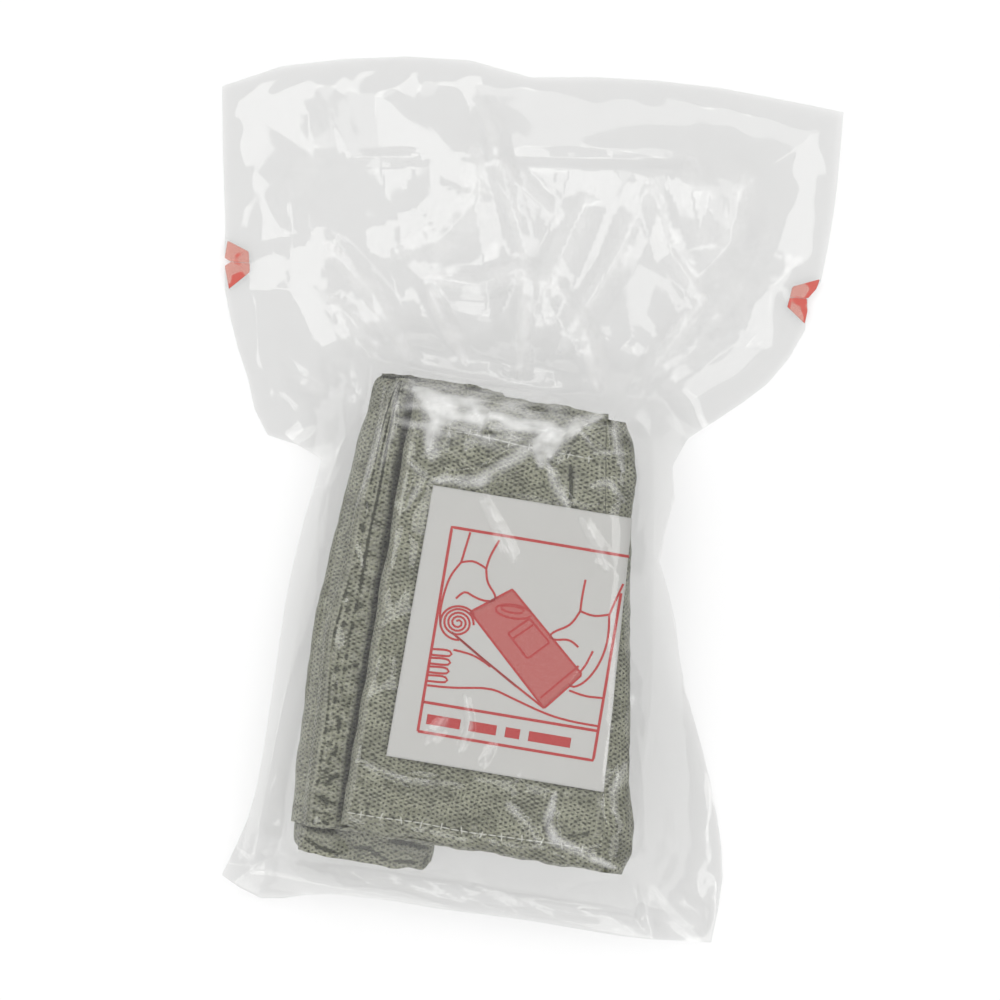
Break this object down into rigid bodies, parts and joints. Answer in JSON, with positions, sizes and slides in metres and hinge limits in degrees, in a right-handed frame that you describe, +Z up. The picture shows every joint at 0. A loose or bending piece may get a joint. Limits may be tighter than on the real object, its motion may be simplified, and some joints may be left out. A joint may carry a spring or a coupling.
{
  "type": "emergency pressure bandage",
  "caption": "Elastic pressure bandage with sewn pad, pressure bar and rolled leader, folded flat and vacuum-packed in a clear film pouch with tear marks and an instruction slip.",
  "frame": {"origin": "on the flat back of the pouch, under the middle of the folded bandage", "axes": "+Y along the bandage towards the tear strip, +X across it, +Z up off the surface it lies on"},
  "size_m": [0.1875, 0.2621, 0.036],
  "materials": {
    "clear_film": "clear creased packaging film",
    "red_ink": "translucent red print",
    "crepe": "sage grey-green elastic crepe",
    "pad_core": "white absorbent wadding",
    "pad_facing": "white non-stick dressing",
    "thread": "off-white sewing thread",
    "bar_plastic": "grey-green moulded plastic",
    "slip_paper": "uncoated printed paper"
  },
  "bodies": {
    "pouch": {"pouch_back_film": "clear_film", "pouch_front_film": "clear_film", "tear_mark_left_lower": "red_ink", "tear_mark_right_lower": "red_ink"},
    "tear_strip": {"strip_back_film": "clear_film", "strip_front_film": "clear_film", "tear_mark_left_upper": "red_ink", "tear_mark_right_upper": "red_ink"},
    "bandage": {"base_wrap_panel": "crepe", "base_pad_core": "pad_core", "base_pad_facing": "pad_facing", "base_stitch_top": "thread", "base_stitch_bottom": "thread", "fold_web": "crepe", "bar_strap_top": "crepe", "bar_strap_bottom": "crepe"},
    "pad_flap": {"flap_wrap_panel": "crepe", "flap_pad_core": "pad_core", "flap_pad_facing": "pad_facing", "flap_stitch_top": "thread", "flap_stitch_bottom": "thread"},
    "leader": {"leader_roll": "crepe", "closure_bar": "bar_plastic"},
    "applicator": {"pressure_bar": "bar_plastic"},
    "slip": {"instruction_slip": "slip_paper"}
  },
  "joints": [
    {"name": "pull_out", "type": "slide", "parent": "pouch", "child": "bandage", "axis": [0, 0.9397, 0.342], "range_m": [0, 0.22], "deforming": ["pouch_front_film"]},
    {"name": "strip_tear", "type": "hinge", "parent": "pouch", "child": "tear_strip", "pos_m": [0.0828, 0.1122, 0], "axis": [0, 0, 1], "range_deg": [-120, 0], "deforming": ["strip_front_film"]},
    {"name": "flap_unfold", "type": "hinge", "parent": "bandage", "child": "pad_flap", "pos_m": [0.04, 0, 0.027], "axis": [-0.1564, 0.9877, 0], "range_deg": [0, 180], "deforming": ["fold_web"]},
    {"name": "leader_swing", "type": "hinge", "parent": "bandage", "child": "leader", "pos_m": [-0.0435, 0, 0.0197], "axis": [0, 1, 0], "range_deg": [0, 90]},
    {"name": "bar_rock", "type": "hinge", "parent": "bandage", "child": "applicator", "pos_m": [0.0435, 0, 0.019], "axis": [-0.1564, 0.9877, 0], "range_deg": [-50, 0], "deforming": ["bar_strap_top", "bar_strap_bottom"]},
    {"name": "slip_off", "type": "slide", "parent": "pouch", "child": "slip", "axis": [-0.98, 0, -0.199], "range_m": [0, 0.165], "deforming": ["instruction_slip"]}
  ],
  "couplings": [
    {"joint": "strip_tear", "follows": "pull_out", "rad_per_m": -9.5},
    {"joint": "flap_unfold", "follows": "pull_out", "rad_per_m": 14.2},
    {"joint": "leader_swing", "follows": "pull_out", "rad_per_m": 7.1},
    {"joint": "bar_rock", "follows": "pull_out", "rad_per_m": -3.9},
    {"joint": "slip_off", "follows": "pull_out", "ratio": 0.74}
  ]
}
